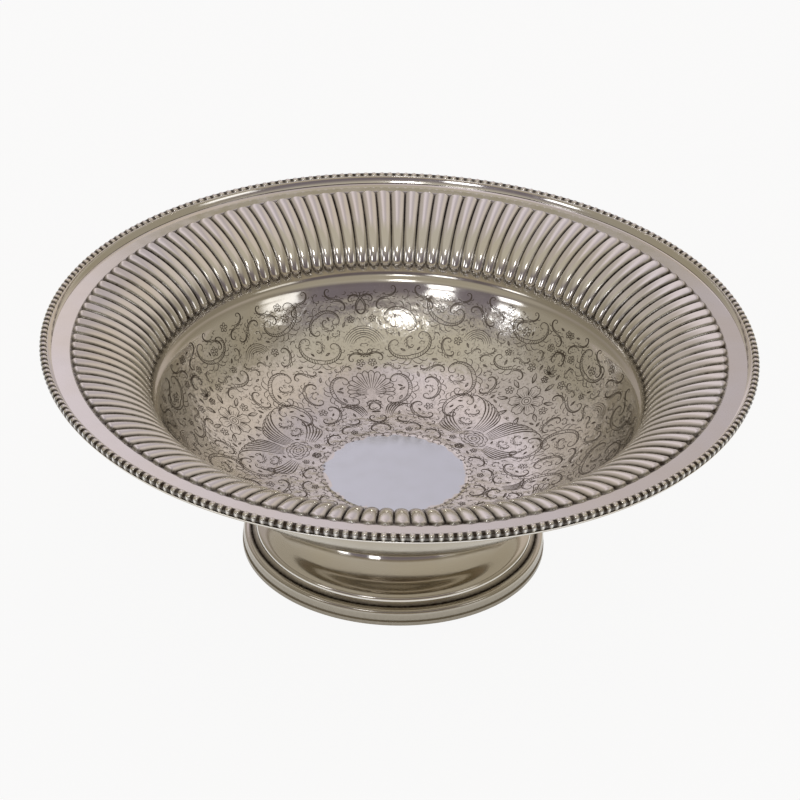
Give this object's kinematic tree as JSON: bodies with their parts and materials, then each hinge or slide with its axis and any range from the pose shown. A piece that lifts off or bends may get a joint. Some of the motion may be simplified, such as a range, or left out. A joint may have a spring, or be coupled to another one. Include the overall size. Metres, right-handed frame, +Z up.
{
  "type": "footed dish",
  "caption": "Round footed dish in polished silver plate with a beaded rim, a border of raised flutes, a deep engraved well and a waisted pedestal foot on a moulded base.",
  "frame": {"origin": "centre of the foot's base, on the surface that the dish stands on", "axes": "+Z up along the dish's axis; the dish is round, so +X and +Y are alike"},
  "size_m": [0.3, 0.3, 0.1012],
  "materials": {
    "chased_silver": "polished silver plate, dark in the valleys and cuts",
    "silver_wire": "polished silver plate, dark between the beads",
    "spun_silver": "polished silver plate",
    "silver_solder": "dull silver solder"
  },
  "bodies": {
    "root": {"bowl": "chased_silver", "rim_bead_wire": "silver_wire", "rim_edge_wire": "silver_wire", "rim_solder_seam": "silver_solder", "foot": "spun_silver", "foot_solder_seam": "silver_solder", "foot_base_moulding": "spun_silver", "base_solder_seam": "silver_solder"}
  },
  "joints": []
}
